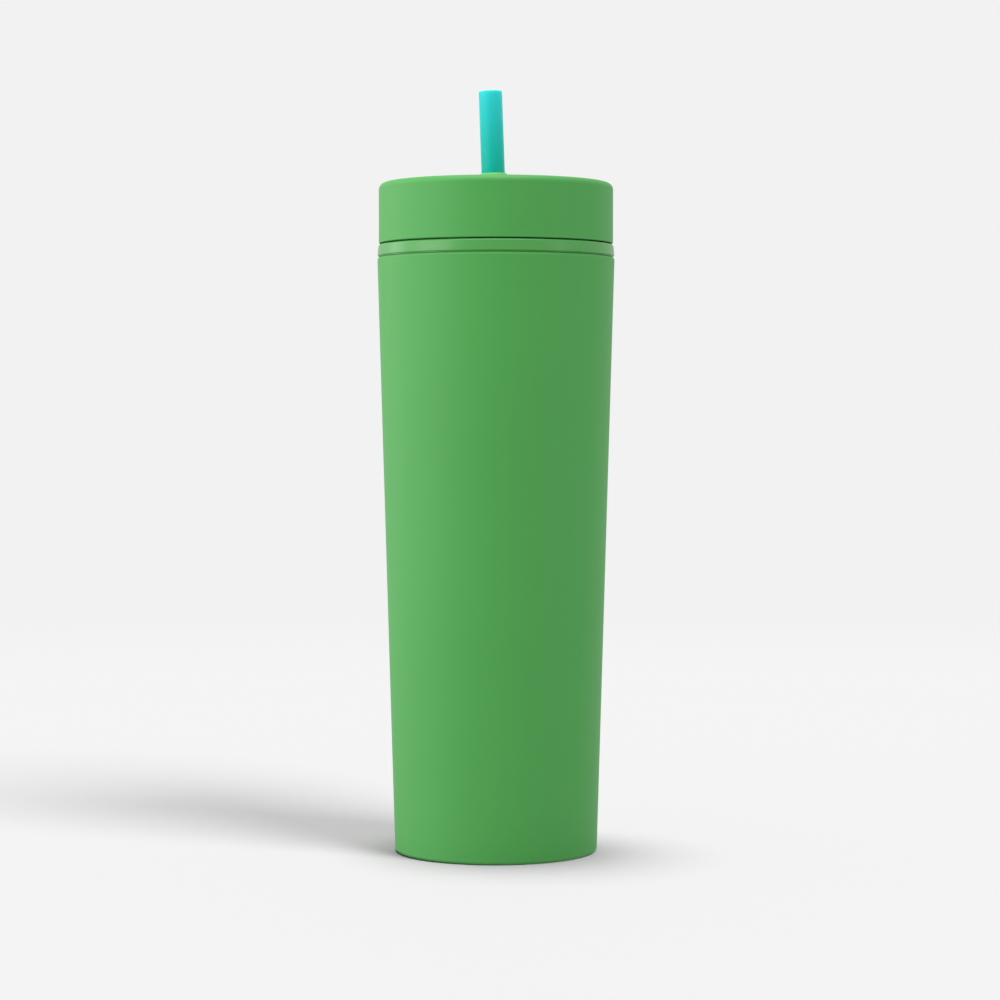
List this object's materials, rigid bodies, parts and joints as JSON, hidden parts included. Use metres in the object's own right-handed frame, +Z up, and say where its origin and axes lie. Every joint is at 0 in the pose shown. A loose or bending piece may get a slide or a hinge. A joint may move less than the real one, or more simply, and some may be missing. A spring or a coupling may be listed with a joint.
{
  "type": "insulated tumbler",
  "caption": "Slim tapered double-wall tumbler with a flush flat-topped screw lid, a smooth band under the lid and a leaning straight straw.",
  "frame": {"origin": "centre of the foot, on the surface that the tumbler stands on", "axes": "+Z up along the cup's axis; the straw leans towards -X as it rises; +X to the right and +Y away when seen from the front"},
  "size_m": [0.0709, 0.0708, 0.2276],
  "materials": {
    "shell_paint": "soft-touch matte green",
    "liner_plastic": "satin moulded green",
    "lid_paint": "soft-touch matte green",
    "lid_plastic": "satin moulded green",
    "seal_silicone": "milky silicone",
    "grommet_silicone": "green silicone",
    "straw_plastic": "glossy slightly cloudy teal"
  },
  "bodies": {
    "cup": {"outer_shell": "shell_paint", "base_cap": "shell_paint", "inner_liner": "liner_plastic"},
    "lid_seal": {"lid_gasket": "seal_silicone"},
    "lid": {"lid_cap": "lid_paint", "lid_insert": "lid_plastic", "straw_grommet": "grommet_silicone"},
    "straw": {"straw": "straw_plastic", "straw_stop": "straw_plastic"}
  },
  "joints": [
    {"name": "lid_rise", "type": "slide", "parent": "cup", "child": "lid_seal", "axis": [0, 0, 1], "range_m": [0, 0.016]},
    {"name": "lid_turn", "type": "hinge", "parent": "lid_seal", "child": "lid", "pos_m": [0, 0, 0.2], "axis": [0, 0, 1], "range_deg": [0, 720]},
    {"name": "straw_slide", "type": "slide", "parent": "lid", "child": "straw", "axis": [-0.0349, 0, 0.9994], "range_m": [0, 0.1765]}
  ],
  "couplings": [
    {"joint": "lid_rise", "follows": "lid_turn", "m_per_rad": 0.0012732}
  ]
}
